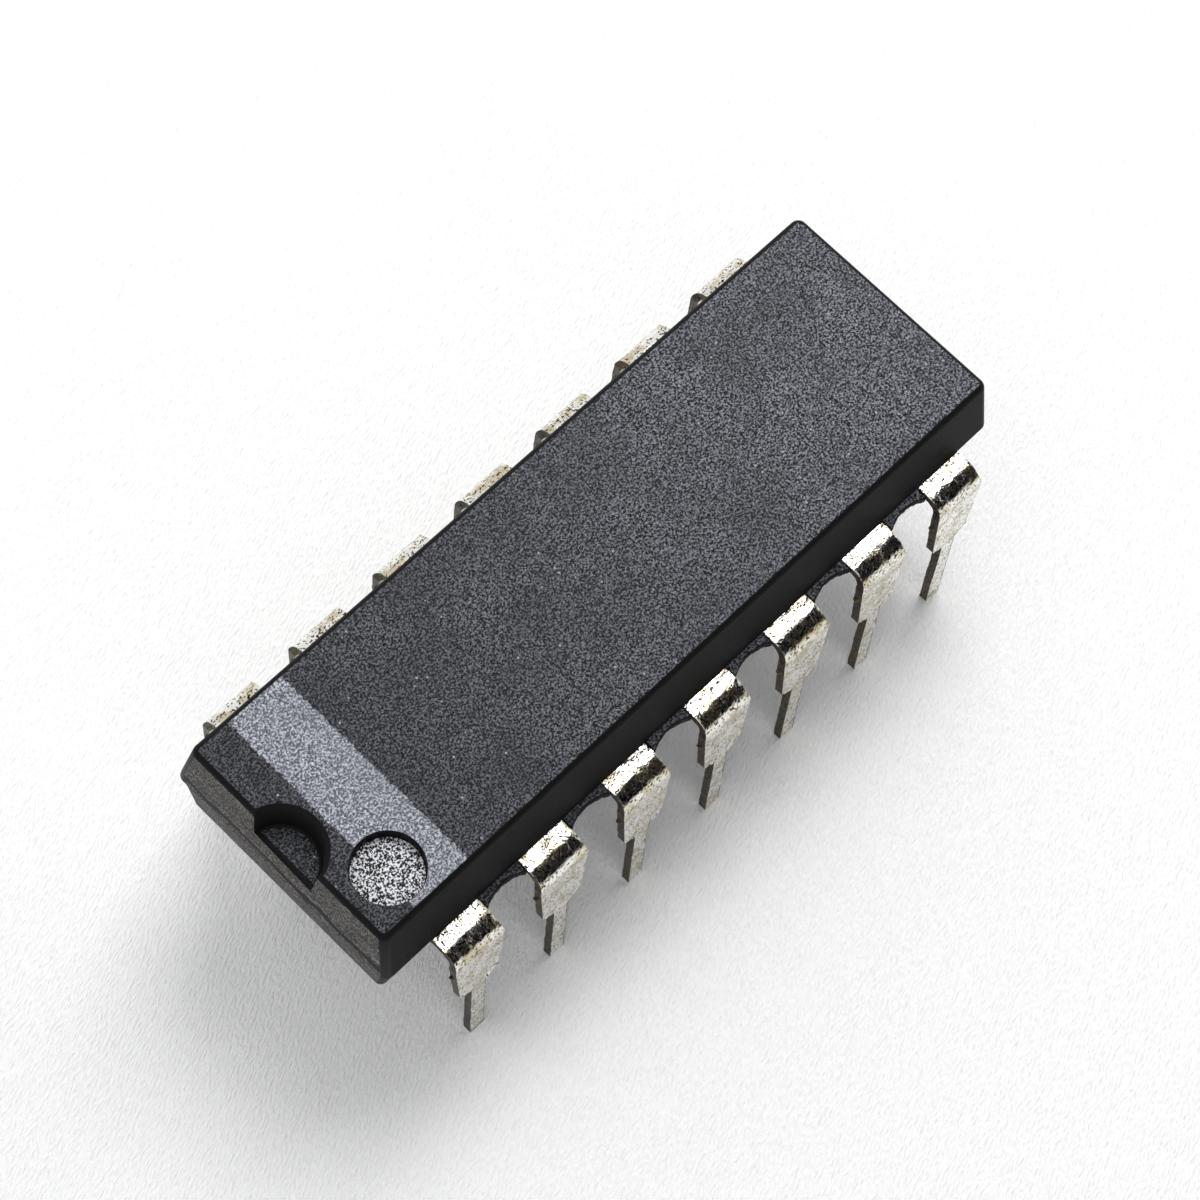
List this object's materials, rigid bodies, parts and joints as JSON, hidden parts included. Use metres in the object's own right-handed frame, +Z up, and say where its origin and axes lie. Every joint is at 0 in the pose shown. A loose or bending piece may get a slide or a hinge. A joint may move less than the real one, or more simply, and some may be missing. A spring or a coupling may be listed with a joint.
{
  "type": "dual in line integrated circuit",
  "caption": "Dual in line chip: drafted black moulding with end notch and dimple, two rows of bent tinned leads, and a wired silicon die on a paddle inside.",
  "frame": {"origin": "under the middle of the moulding's length and midway between the two rows, on the surface that the fourteen lead tips stand on", "axes": "+X along the body from the notched end to the plain end, +Y across the rows from the lead 1 side to the lead 14 side, +Z up"},
  "size_m": [0.019, 0.0084, 0.0072],
  "materials": {
    "moulding": "black filled epoxy moulding compound, fine satin grain, worn grey ink band on top",
    "leads": "solder dipped, bright and slightly pitted, dark on the sheared edges",
    "frame_copper": "stamped copper alloy sheet",
    "attach_epoxy": "silver filled adhesive",
    "silicon": "polished silicon with an oxide tint",
    "bond_gold": "drawn gold wire"
  },
  "bodies": {
    "root": {"body": "moulding", "die_paddle": "frame_copper", "die_attach": "attach_epoxy", "silicon_die": "silicon", "lead_1": "leads", "lead_2": "leads", "lead_3": "leads", "lead_4": "leads", "lead_5": "leads", "lead_6": "leads", "lead_7": "leads", "lead_8": "leads", "lead_9": "leads", "lead_10": "leads", "lead_11": "leads", "lead_12": "leads", "lead_13": "leads", "lead_14": "leads", "bond_wire_1": "bond_gold", "bond_wire_2": "bond_gold", "bond_wire_3": "bond_gold", "bond_wire_4": "bond_gold", "bond_wire_5": "bond_gold", "bond_wire_6": "bond_gold", "bond_wire_7": "bond_gold", "bond_wire_8": "bond_gold", "bond_wire_9": "bond_gold", "bond_wire_10": "bond_gold", "bond_wire_11": "bond_gold", "bond_wire_12": "bond_gold", "bond_wire_13": "bond_gold", "bond_wire_14": "bond_gold"}
  },
  "joints": []
}
